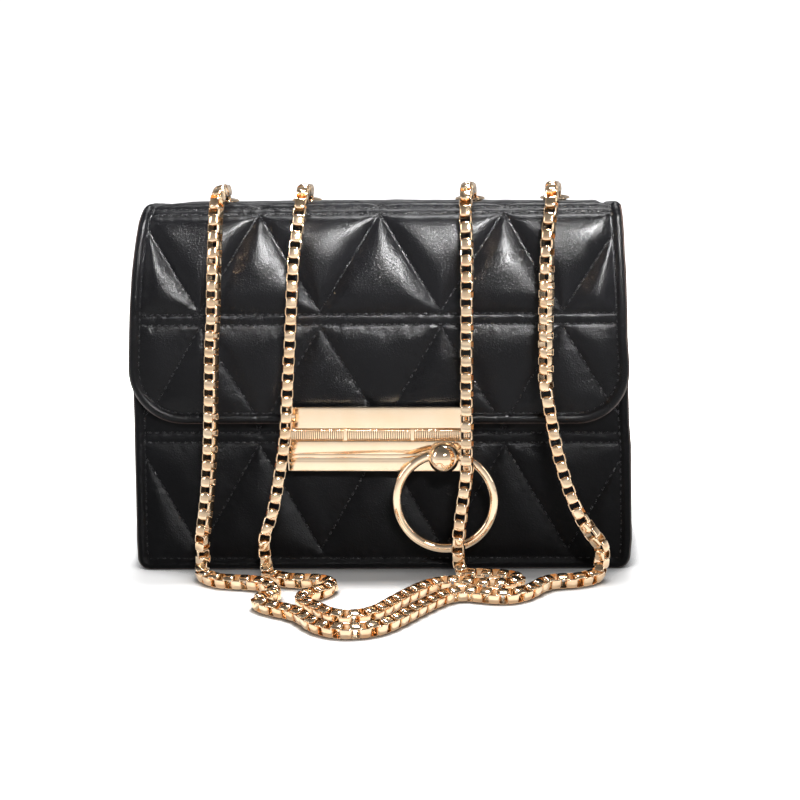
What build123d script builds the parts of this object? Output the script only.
from build123d import *
import math
import os

# A quilted flap handbag with a gold clasp and box-chain straps, in mm.
# X runs across the width (left is -X), the front faces -Y, and Z is up from the floor.

os.makedirs("parts", exist_ok=True)

# ---------------------------------------------------------------- driving dimensions
WIDTH, DEPTH = 200.0, 70.0
HALF_W, HALF_D = WIDTH / 2, DEPTH / 2
RIM_Z = 142.0            # height of the panels under the rim binding
LEATHER = 3.0            # front and back panel thickness
GUSSET_T = 2.5
BOTTOM_T = 2.2
GAP = 0.1                # clearance between neighbouring pieces
BODY_FRONT_Y = -HALF_D
INSIDE_Y = HALF_D - LEATHER
STIFFENER_T = 1.0
MAGNET_Z = 78.0          # body magnet and flap keeper

# Clasp on the body
PLATE_HALF_W = 74.6 / 2                   # both gold plates
BASE_LOW, BASE_HIGH = 41.0, 58.8
STRIP_LOW = 53.9                          # lower edge of the reeded strip
BASE_FACE_Y, STRIP_FACE_Y = -42.0, -40.4
DIVIDERS = (-11.6, 15.8)                  # x of the ribs between the reeded segments
DIVIDER_HALF_W = 0.9
GROOVE_Z = 47.4
GROOVE_DEPTH = GROOVE_HALF_H = 0.45
BACKING_Y = (-30.8, -29.9)                # backing plate inside the body
SCREW_X, SCREW_Z = (-26.0, 12.0), GROOVE_Z
SCREW_R, SCREW_HEAD_R = 1.2, 2.4
SCREW_TAP_R, SCREW_HOLE_R = 1.25, 1.35    # hole in the clasp base, holes through the body
STUD_END_Y = -29.15                       # inner end of the ball's neck

# Ball and ring
BALL_X, BALL_Y, BALL_Z, BALL_R = 28.4, -49.0, 48.2, 6.0
AXLE_R, AXLE_BORE_R = 1.20, 1.28
RING_R, WIRE_R = 19.25, 1.65              # ring centreline radius and wire radius
ARM_X = 6.5                               # where the ring's arc meets its axle
RING_Z = BALL_Z - math.sqrt(RING_R ** 2 - ARM_X ** 2)
NECK_R, NECK_HOLE_R = 2.0, 2.15

# Flap
FLAP_TOP_Z = 150.0       # top of the closed flap
FLAP_FRONT_Y = -40.6     # outer face of the closed flap
FLAP_EDGE_Z = 60.0       # lower edge
FLAP_BACK_Y = 34.0       # back end of the top
FLAP_CORNER_R = 22.0     # lower corners
FLAP_BEND_R = 8.0        # outer radius of the fold over the front top edge
# layer: start and end offset inward from the outer face
FLAP_LAYERS = {"flap_outer": (0.0, 2.4), "flap_core": (2.5, 3.9), "flap_lining": (4.0, 4.9)}
CORE_CUT_Y = (-39, -35)                   # reach of the cutters through the core
INSERT_FRONT_Y = -38.05                   # front of the pieces let into the core
FLAP_PLATE_FACE_Y = -42.7
FLAP_PLATE_LOW, FLAP_PLATE_HIGH = 59.0, 68.0
RIVET_X, RIVET_Z = (-26.0, 26.0), 63.6
RIVET_R, RIVET_HEAD_R, RIVET_HOLE_R = 1.0, 1.7, 1.08

EYELET_X = (-67.0, -33.5, 33.5, 67.0)
EYELET_Y = 20.0
EYELET_BORE_R, EYELET_TUBE_R, EYELET_FLANGE_R = 4.3, 4.9, 6.9
EYELET_CUT_Z = (140, 156)                 # reach of the cutters along an eyelet

# Box chain
LINK_PITCH = 3.3
LINK_L, LINK_H, LINK_W, LINK_T = 4.7, 5.4, 4.0, 0.65   # length, height, strip width, wall
LINK_CORNER = 0.8
CURVE_STEPS = 24         # curve points per span between two centreline points
SMOOTH_PASSES = 30
FRONT_START_Z, FRONT_END_Z = 147.0, 8.4   # front links are kept between these heights
FLOOR_CHAIN_Z = 2.9

# Centrelines of the hanging front chains, from left to right: (x, y, z)
FRONT_RUNS = [
    [(-63.2, -45.8, 156.6), (-64.6, -48.8, 104.9), (-65.5, -49.3, 94.8),
     (-67.8, -52.3, 41.9), (-71.0, -53.5, 12.5), (-72.9, -53.8, 4.6)],
    [(-29.1, -45.8, 157.0), (-31.9, -47.5, 127.8), (-33.1, -48.9, 105.5),
     (-35.4, -50.6, 75.8), (-36.6, -51.5, 58.3), (-39.0, -52.3, 43.2), (-41.8, -52.9, 28.0),
     (-45.6, -53.3, 16.4), (-46.7, -53.7, 7.6), (-45.5, -53.9, 3.7)],
    [(37.0, -45.8, 155.5), (37.3, -47.4, 132.0), (37.3, -49.5, 107.2), (37.0, -52.6, 72.8),
     (37.0, -54.5, 54.9), (36.8, -54.9, 45.7), (36.2, -54.7, 38.7), (34.7, -54.3, 29.2),
     (33.6, -54.3, 20.7), (32.9, -54.4, 11.2), (32.4, -54.8, 4.7)],
    [(71.0, -45.9, 155.1), (69.2, -47.1, 135.2), (68.4, -48.7, 106.9), (68.3, -49.9, 84.3),
     (68.1, -50.1, 80.3), (70.0, -50.9, 65.9), (72.7, -51.8, 51.9), (76.8, -52.5, 37.4),
     (81.6, -52.9, 26.4), (87.3, -53.3, 17.9), (90.5, -53.5, 13.4), (91.1, -53.7, 8.5)],
]
# Centrelines of the chains lying on the floor in front of the bag: (x, y)
FLOOR_RUNS = {
    "floor_chain_outer": [
        (-71.7, -59.2), (-67.5, -66.0), (-61.2, -70.9), (-52.9, -72.2), (-44.3, -74.3),
        (-39.2, -81.5), (-36.7, -90.3), (-40.8, -94.7), (-41.9, -100.3), (-34.1, -107.4),
        (-28.0, -110.8), (-22.6, -116.3), (-18.4, -124.0), (-12.7, -130.4), (-6.3, -133.9),
        (-0.5, -133.9), (5.5, -131.6), (9.6, -127.8), (13.4, -121.6), (19.4, -109.0),
        (25.3, -97.2), (31.1, -88.0), (36.5, -85.2), (41.2, -86.2), (46.4, -88.3),
        (52.6, -89.3), (57.9, -87.1), (63.1, -80.5), (66.8, -72.5), (71.7, -67.8),
        (76.9, -67.3), (81.6, -65.6), (86.0, -61.8), (88.6, -58.9)],
    "floor_chain_inner": [
        (-44.4, -59.6), (-41.0, -64.6), (-33.5, -69.3), (-20.8, -71.0), (-15.8, -77.3),
        (-20.2, -86.0), (-25.0, -91.5), (-24.8, -98.3), (-17.8, -107.6), (-10.8, -115.9),
        (-3.7, -118.2), (4.4, -112.8), (10.5, -99.4), (15.7, -88.2), (21.4, -77.8),
        (28.1, -72.3), (34.4, -71.5), (41.6, -74.6), (49.6, -75.6), (56.2, -72.6),
        (57.8, -67.0), (53.9, -63.4), (47.8, -61.6), (41.5, -61.0), (37.4, -61.2),
        (34.6, -59.9)],
}
# Chains over the flap, from the eyelets to the front: shared (y, z), and the front end's x
TOP_RUN_YZ = [(14.6, 154.0), (6.0, 154.2), (-4.0, 153.6), (-20.0, 153.4), (-32.0, 153.4),
              (-38.2, 153.3)]
TOP_END_X = (-63.6, -29.6, 36.6, 70.6)
# Chain under the flap from an eyelet to mid-span: (x distance from the eyelet, z)
INNER_RUN = [(0, 148.5), (0, 144.0), (1.5, 140.6), (5.5, 139.0), (12, 138.4)]


# ---------------------------------------------------------------- helpers
def save(name, *shapes):
    """One STEP per piece; identical items share a file as separate solids."""
    solids = [shape.solids()[0] for shape in shapes]
    piece = solids[0] if len(solids) == 1 else Compound(label=name, children=solids)
    export_step(piece, "parts/" + name + ".step")


def block(x0, x1, y0, y1, z0, z1):
    return Pos((x0 + x1) / 2, (y0 + y1) / 2, (z0 + z1) / 2) * Box(x1 - x0, y1 - y0, z1 - z0)


def wide_block(half_w, y0, y1, z0, z1):
    """A block centred on x = 0."""
    return block(-half_w, half_w, y0, y1, z0, z1)


def tray_block(half_w, half_d, z0, z1):
    """A block centred on the Z axis."""
    return wide_block(half_w, -half_d, half_d, z0, z1)


def rod_x(y, z, r, x0, x1):
    return Pos((x0 + x1) / 2, y, z) * Rot(0, 90, 0) * Cylinder(r, x1 - x0)


def rod_y(x, z, r, y0, y1):
    return Pos(x, (y0 + y1) / 2, z) * Rot(90, 0, 0) * Cylinder(r, y1 - y0)


def rod_z(x, y, r, z0, z1):
    return Pos(x, y, (z0 + z1) / 2) * Cylinder(r, z1 - z0)


def drill_y(piece, x_places, z, r, y0, y1):
    for x in x_places:
        piece -= rod_y(x, z, r, y0, y1)
    return piece


def drill_clasp_holes(piece, y0, y1):
    """Clearance holes for the clasp screws and the ball's neck."""
    piece = drill_y(piece, SCREW_X, SCREW_Z, SCREW_HOLE_R, y0, y1)
    return piece - rod_y(BALL_X, BALL_Z, NECK_HOLE_R, y0, y1)


def y_edges_below(piece, z):
    return [edge for edge in piece.edges().filter_by(Axis.Y) if edge.center().Z < z]


# ---------------------------------------------------------------- body shell
def body_panel(y0, y1):
    panel = wide_block(HALF_W, y0, y1, 0, RIM_Z)
    return fillet(y_edges_below(panel, 1), 5.0)


def front_panel():
    panel = body_panel(BODY_FRONT_Y, -INSIDE_Y)
    panel = drill_clasp_holes(panel, BODY_FRONT_Y - 1, -INSIDE_Y + 1)
    magnet_pocket = rod_y(0, MAGNET_Z, 7.2, BODY_FRONT_Y - 1, BODY_FRONT_Y + 2.0)
    return panel - magnet_pocket


def rim_binding():
    rim = tray_block(HALF_W, HALF_D, RIM_Z + GAP, RIM_Z + 1.6)
    rim -= tray_block(HALF_W - 5.2, 28.0, RIM_Z - 1, RIM_Z + 3)
    return fillet(rim.edges().filter_by(Axis.Z), 1.2)


def stiffener(y0):
    return wide_block(92, y0, y0 + STIFFENER_T, 3.0, RIM_Z - 2.0)


def lining_bag():
    half_w, half_d, floor_z, wall = 97.3, 28.8, 4.5, 0.7
    bag = tray_block(half_w, half_d, floor_z, RIM_Z - 0.2)
    return bag - tray_block(half_w - wall, half_d - wall, floor_z + wall, RIM_Z + 5)


def slip_pocket():
    pocket = wide_block(60, 27.2, 28.0, 48.0, 112.0)
    return fillet(y_edges_below(pocket, 60), 6.0)


save("front_panel", front_panel())
save("back_panel", body_panel(INSIDE_Y, HALF_D))
fit_half_d = INSIDE_Y - GAP
for name, left_x in (("left_gusset", -HALF_W), ("right_gusset", HALF_W - GUSSET_T)):
    save(name, block(left_x, left_x + GUSSET_T, -fit_half_d, fit_half_d, 5.2, RIM_Z))
save("bottom_panel", tray_block(HALF_W - 4.0, fit_half_d, 0, BOTTOM_T))
save("rim_binding", rim_binding())
save("front_stiffener", drill_clasp_holes(stiffener(-fit_half_d), -33, -30))
save("back_stiffener", stiffener(fit_half_d - STIFFENER_T))
save("base_board", tray_block(95, 28.6, BOTTOM_T + GAP, 4.3))
save("lining_bag", lining_bag())
save("slip_pocket", slip_pocket())
save("body_magnet", rod_y(0, MAGNET_Z, 7.0, BODY_FRONT_Y + 0.15, BODY_FRONT_Y + 1.9))


# ---------------------------------------------------------------- clasp on the body
def clasp_base():
    """Grooved plate with a recessed strip, split by ribs, along its upper edge."""
    back_y = BODY_FRONT_Y - GAP
    base = wide_block(PLATE_HALF_W, BASE_FACE_Y, back_y, BASE_LOW, STRIP_LOW)
    base += wide_block(PLATE_HALF_W, STRIP_FACE_Y, back_y, STRIP_LOW, BASE_HIGH)
    for x in DIVIDERS:
        base += block(x - DIVIDER_HALF_W, x + DIVIDER_HALF_W, BASE_FACE_Y, -40.0,
                      STRIP_LOW - 0.5, BASE_HIGH)
    base -= wide_block(PLATE_HALF_W + 1, BASE_FACE_Y - 1, BASE_FACE_Y + GROOVE_DEPTH,
                       GROOVE_Z - GROOVE_HALF_H, GROOVE_Z + GROOVE_HALF_H)
    base = drill_y(base, SCREW_X, SCREW_Z, SCREW_TAP_R, -39.5, BODY_FRONT_Y + 1)
    return base - rod_y(BALL_X, BALL_Z, NECK_HOLE_R, -50, -30)


def reeded_inlay(x0, x1):
    """A strip segment whose front is a row of upright reeds about 1 mm wide."""
    back_y, valley_y, crest_y = -40.5, -41.3, -41.85
    count = int(round((x1 - x0) / 1.0))
    step = (x1 - x0) / count
    points = [(x0, back_y)]
    for i in range(count):
        reed_x = x0 + i * step
        points += [(reed_x + 0.04, valley_y), (reed_x + 0.28 * step, crest_y),
                   (reed_x + 0.72 * step, crest_y), (reed_x + step - 0.04, valley_y)]
    points.append((x1, back_y))
    outline = Polyline(*[(x, y, STRIP_LOW + GAP) for x, y in points], close=True)
    return extrude(make_face(outline), amount=BASE_HIGH - STRIP_LOW - 2 * GAP, dir=(0, 0, 1))


def clasp_screw(x):
    return (rod_y(x, SCREW_Z, SCREW_R, -39.2, -29.75)
            + rod_y(x, SCREW_Z, SCREW_HEAD_R, -29.8, -29.1))


def ball_stud():
    ball = Pos(BALL_X, BALL_Y, BALL_Z) * Rot(0, 90, 0) * Sphere(BALL_R)
    ball = ball + rod_y(BALL_X, BALL_Z, NECK_R, BALL_Y + 4, STUD_END_Y)
    return ball - rod_x(BALL_Y, BALL_Z, AXLE_BORE_R, BALL_X - 9, BALL_X + 9)


def stud_washer():
    washer = rod_y(BALL_X, BALL_Z, 4.3, -42.7, BASE_FACE_Y - 0.05)
    return washer - rod_y(BALL_X, BALL_Z, NECK_HOLE_R, -44, -41)


def stud_nut():
    nut_plane = Plane((BALL_X, STUD_END_Y, BALL_Z), x_dir=(1, 0, 0), z_dir=(0, -1, 0))
    nut = extrude(nut_plane * RegularPolygon(3.6, 6), amount=0.7)
    return nut - rod_y(BALL_X, BALL_Z, NECK_R + 0.05, -31, -28)


def knocker_ring():
    """Ring hanging from the ball, its top arc replaced by a straight axle."""
    hoop = Pos(BALL_X, BALL_Y, RING_Z) * Rot(90, 0, 0) * Torus(RING_R, WIRE_R)
    hoop = hoop - block(BALL_X - ARM_X, BALL_X + ARM_X, BALL_Y - 5, BALL_Y + 5,
                        RING_Z + 10, RING_Z + 30)
    axle_reach = ARM_X + 0.6
    return hoop + rod_x(BALL_Y, BALL_Z, AXLE_R, BALL_X - axle_reach, BALL_X + axle_reach)


save("clasp_base", clasp_base())
inlay_inset = DIVIDER_HALF_W + GAP
inlay_starts = [-PLATE_HALF_W + 0.2] + [x + inlay_inset for x in DIVIDERS]
inlay_ends = [x - inlay_inset for x in DIVIDERS] + [PLATE_HALF_W - 0.2]
save("reeded_inlays", *[reeded_inlay(x0, x1) for x0, x1 in zip(inlay_starts, inlay_ends)])
save("clasp_backing_plate", drill_clasp_holes(block(-33, 35, *BACKING_Y, 43.0, 54.0), -32, -29))
save("clasp_screws", *[clasp_screw(x) for x in SCREW_X])
save("ball_stud", ball_stud())
save("stud_washer", stud_washer())
save("stud_nut", stud_nut())
save("knocker_ring", knocker_ring())


# ---------------------------------------------------------------- flap
def flap_layer(offset_out, offset_in):
    """The flap's bent sheet between two offsets inward from its outer face."""
    bend_y, bend_z = FLAP_FRONT_Y + FLAP_BEND_R, FLAP_TOP_Z - FLAP_BEND_R

    def profile(offset):
        """Back end, bend start, bend middle, bend end and lower edge."""
        y, z = FLAP_FRONT_Y + offset, FLAP_TOP_Z - offset
        reach = (FLAP_BEND_R - offset) * math.sqrt(0.5)
        points = [(FLAP_BACK_Y, z), (bend_y, z), (bend_y - reach, bend_z + reach),
                  (y, bend_z), (y, FLAP_EDGE_Z)]
        return [(-HALF_W, *point) for point in points]

    outer, inner = profile(offset_out), profile(offset_in)[::-1]
    lines = []
    for side, next_side in ((outer, inner), (inner, outer)):
        lines += [Line(side[0], side[1]), ThreePointArc(*side[1:4]),
                  Line(side[3], side[4]), Line(side[4], next_side[0])]
    sheet = extrude(Face(Wire(lines)), amount=WIDTH, dir=(1, 0, 0))
    sheet = fillet(y_edges_below(sheet, FLAP_EDGE_Z + 1), FLAP_CORNER_R)
    for x in EYELET_X:
        sheet -= rod_z(x, EYELET_Y, EYELET_TUBE_R + 0.1, *EYELET_CUT_Z)
    return sheet


def flap_plate():
    plate = wide_block(PLATE_HALF_W, FLAP_PLATE_FACE_Y, FLAP_FRONT_Y - GAP,
                       FLAP_PLATE_LOW, FLAP_PLATE_HIGH)
    plate = chamfer([edge for edge in plate.faces().sort_by(Axis.Y)[0].edges()], 0.4)
    return drill_y(plate, RIVET_X, RIVET_Z, RIVET_HOLE_R, -42.0, -38)


def flap_plate_backing():
    backing = wide_block(34, INSERT_FRONT_Y, -37.15, 62.0, 66.2)
    return drill_y(backing, RIVET_X, RIVET_Z, RIVET_HOLE_R, -39, -36)


def flap_rivet(x):
    return (rod_y(x, RIVET_Z, RIVET_R, -41.9, -37.05)
            + rod_y(x, RIVET_Z, RIVET_HEAD_R, -37.1, -36.75))


def eyelet(x):
    tube = rod_z(x, EYELET_Y, EYELET_TUBE_R, 144.3, FLAP_TOP_Z + 0.3)
    flange = rod_z(x, EYELET_Y, EYELET_FLANGE_R, FLAP_TOP_Z + 0.05, FLAP_TOP_Z + 0.6)
    return tube + flange - rod_z(x, EYELET_Y, EYELET_BORE_R, *EYELET_CUT_Z)


def eyelet_washer(x):
    washer = rod_z(x, EYELET_Y, EYELET_FLANGE_R, 144.4, 145.0)
    return washer - rod_z(x, EYELET_Y, EYELET_TUBE_R + 0.05, *EYELET_CUT_Z)


for name, offsets in FLAP_LAYERS.items():
    sheet = flap_layer(*offsets)
    if name == "flap_outer":
        sheet = drill_y(sheet, RIVET_X, RIVET_Z, RIVET_HOLE_R, -45, -35)
    if name == "flap_core":
        # windows for the plate backing and the keeper
        sheet -= wide_block(34.2, *CORE_CUT_Y, 61.8, 66.4)
        sheet -= rod_y(0, MAGNET_Z, 6.2, *CORE_CUT_Y)
    save(name, sheet)
save("flap_plate", flap_plate())
save("flap_plate_backing", flap_plate_backing())
save("flap_rivets", *[flap_rivet(x) for x in RIVET_X])
save("flap_keeper", rod_y(0, MAGNET_Z, 6.0, INSERT_FRONT_Y, -36.8))
save("eyelets", *[eyelet(x) for x in EYELET_X])
save("eyelet_washers", *[eyelet_washer(x) for x in EYELET_X])


# ---------------------------------------------------------------- box chain
def box_link():
    """A rectangular tube with cut outer corners, its length along X."""
    end_x, end_y = LINK_L / 2, LINK_H / 2
    flat_x, flat_y = end_x - LINK_CORNER, end_y - LINK_CORNER
    corners = [(-end_x, -flat_y), (-end_x, flat_y), (-flat_x, end_y), (flat_x, end_y),
               (end_x, flat_y), (end_x, -flat_y), (flat_x, -end_y), (-flat_x, -end_y)]
    outline = Polyline(*[(x, y, -LINK_W / 2) for x, y in corners], close=True)
    tube = extrude(make_face(outline), amount=LINK_W, dir=(0, 0, 1))
    tube -= Box(LINK_L - 2 * LINK_T, LINK_H - 2 * LINK_T, LINK_W + 2)
    return tube.solids()[0]


LINK = box_link()


def catmull_rom(before, start, end, after, t):
    return 0.5 * (2 * start + (end - before) * t
                  + (2 * before - 5 * start + 4 * end - after) * t * t
                  + (3 * start - before - 3 * end + after) * t ** 3)


def smooth_path(points):
    """A Catmull-Rom curve through the points, then averaged with its neighbours."""
    padded = [points[0], *points, points[-1]]
    path = []
    for i in range(len(points) - 1):
        axes = list(zip(*padded[i:i + 4]))
        for k in range(CURVE_STEPS):
            path.append(tuple(catmull_rom(*axis, k / CURVE_STEPS) for axis in axes))
    path.append(points[-1])
    for _ in range(SMOOTH_PASSES):
        middle = [tuple((p + 2 * q + r) / 4 for p, q, r in zip(*path[i - 1:i + 2]))
                  for i in range(1, len(path) - 1)]
        path = [path[0], *middle, path[-1]]
    return path


def stations(path):
    """(point, tangent) every LINK_PITCH along the path."""
    travelled, target, found = 0.0, 0.0, []
    for start, end in zip(path, path[1:]):
        length = math.dist(start, end)
        while length > 0 and travelled + length >= target:
            t = (target - travelled) / length
            point = tuple(p + (q - p) * t for p, q in zip(start, end))
            found.append((point, (Vector(*end) - Vector(*start)).normalized()))
            target += LINK_PITCH
        travelled += length
    return found


def chain(points, up, z_low=-math.inf, z_high=math.inf):
    """Links between two heights; every second one is turned a quarter turn about the path."""
    up = Vector(*up)
    links = []
    for i, (point, tangent) in enumerate(stations(smooth_path(points))):
        if not z_low < point[2] < z_high:
            continue
        normal = (up - tangent * up.dot(tangent)).normalized()
        strip_dir = tangent.cross(normal) if i % 2 == 0 else normal
        links.append(LINK.moved(Plane(origin=point, x_dir=tangent, z_dir=strip_dir).location))
    return links


for number, points in enumerate(FRONT_RUNS, 1):
    save(f"front_chain_{number}", *chain(points, (0, -1, 0), FRONT_END_Z, FRONT_START_Z))
for name, points in FLOOR_RUNS.items():
    save(name, *chain([(x, y, FLOOR_CHAIN_Z) for x, y in points], (0, 0, 1)))
for number, (x0, x1) in enumerate(zip(EYELET_X, TOP_END_X), 1):
    spans = len(TOP_RUN_YZ) - 1
    points = [(x0 + (x1 - x0) * i / spans, y, z) for i, (y, z) in enumerate(TOP_RUN_YZ)]
    save(f"top_chain_{number}", *chain(points, (0, 0, 1)))
for side, (x0, x1) in {"left": EYELET_X[:2], "right": EYELET_X[2:]}.items():
    points = [(x0 + inset, EYELET_Y, z) for inset, z in INNER_RUN]
    points += [(x1 - inset, EYELET_Y, z) for inset, z in reversed(INNER_RUN)]
    save("inner_chain_" + side, *chain(points, (0, -1, 0)))
